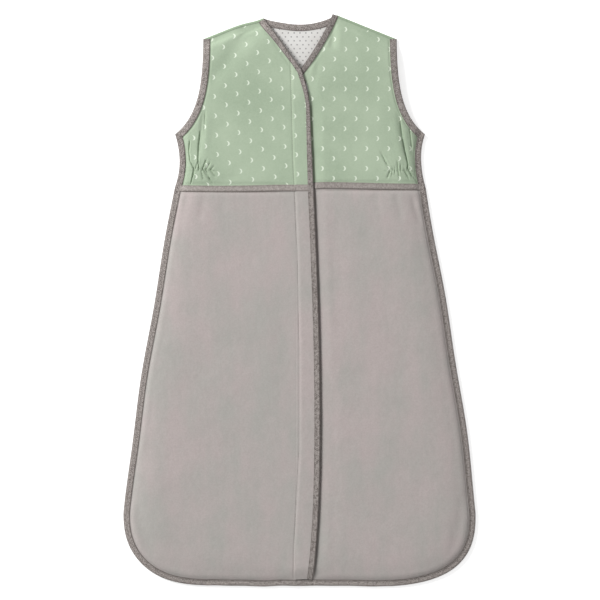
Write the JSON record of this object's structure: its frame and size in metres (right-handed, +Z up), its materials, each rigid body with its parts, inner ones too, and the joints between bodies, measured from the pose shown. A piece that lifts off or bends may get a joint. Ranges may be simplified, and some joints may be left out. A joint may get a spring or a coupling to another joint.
{
  "type": "baby sleeping bag",
  "caption": "Sleeveless padded baby sleeping bag with a V neck, taped waist, gathered sides and a front zip under a folding flap.",
  "frame": {"origin": "under the middle of the bag, on the surface that it lies on", "axes": "+Y from the hem to the neck, +Z up out of the front, +X towards the bag's right edge as seen from above"},
  "size_m": [0.555, 0.9, 0.0173],
  "materials": {
    "yoke_cotton": "pale green printed cotton, matt",
    "skirt_velour": "warm grey velour, matt with a soft sheen",
    "rib_binding": "taupe ribbed binding, matt",
    "waist_tape": "taupe woven tape, matt",
    "lining_cotton": "off-white cotton with small grey dots, matt",
    "wadding": "white polyester wadding",
    "elastic": "white knitted elastic",
    "seam": "pale green cotton folded in a seam",
    "zip_tape": "taupe woven zip tape",
    "zip_coil": "taupe nylon coil",
    "zip_metal": "bright plated metal"
  },
  "bodies": {
    "bag": {"back_lining": "lining_cotton", "back_skirt": "skirt_velour", "back_wadding": "wadding", "back_waist_tape": "waist_tape", "back_yoke": "yoke_cotton", "hem_binding": "rib_binding", "left_armhole_binding_back": "rib_binding", "left_armhole_binding_front": "rib_binding", "left_elastic": "elastic", "left_front_lining": "lining_cotton", "left_front_skirt": "skirt_velour", "left_front_wadding": "wadding", "left_front_waist_tape": "waist_tape", "left_front_yoke": "yoke_cotton", "left_shoulder_seam": "seam", "left_side_binding": "rib_binding", "neck_binding_back": "rib_binding", "neck_binding_left": "rib_binding", "neck_binding_right": "rib_binding", "right_armhole_binding_back": "rib_binding", "right_armhole_binding_front": "rib_binding", "right_elastic": "elastic", "right_front_lining": "lining_cotton", "right_front_skirt": "skirt_velour", "right_front_wadding": "wadding", "right_front_waist_tape": "waist_tape", "right_front_yoke": "yoke_cotton", "right_shoulder_seam": "seam", "right_side_binding": "rib_binding", "zip_bottom_stop": "zip_metal", "zip_coil_left": "zip_coil", "zip_coil_right": "zip_coil", "zip_tape_left": "zip_tape", "zip_tape_right": "zip_tape", "zip_top_stop_left": "zip_metal", "zip_top_stop_right": "zip_metal"},
    "zip_flap": {"flap_binding": "rib_binding", "flap_facing": "lining_cotton", "flap_skirt": "skirt_velour", "flap_waist_tape": "waist_tape", "flap_yoke": "yoke_cotton"},
    "zip_slider": {"zip_slider_body": "zip_metal", "zip_slider_crown": "zip_metal"},
    "zip_pull": {"zip_pull": "zip_metal"}
  },
  "joints": [
    {"name": "flap_fold", "type": "hinge", "parent": "bag", "child": "zip_flap", "pos_m": [-0.007, 0, 0.0163], "axis": [0, -1, 0], "range_deg": [0, 170]},
    {"name": "slider_travel", "type": "slide", "parent": "bag", "child": "zip_slider", "axis": [0, -1, 0], "range_m": [0, 0.725]},
    {"name": "pull_lift", "type": "hinge", "parent": "zip_slider", "child": "zip_pull", "pos_m": [0.008, 0.3355, 0.0127], "axis": [-1, 0, 0], "range_deg": [0, 90]}
  ],
  "couplings": [
    {"joint": "pull_lift", "follows": "flap_fold", "ratio": 0.5}
  ]
}
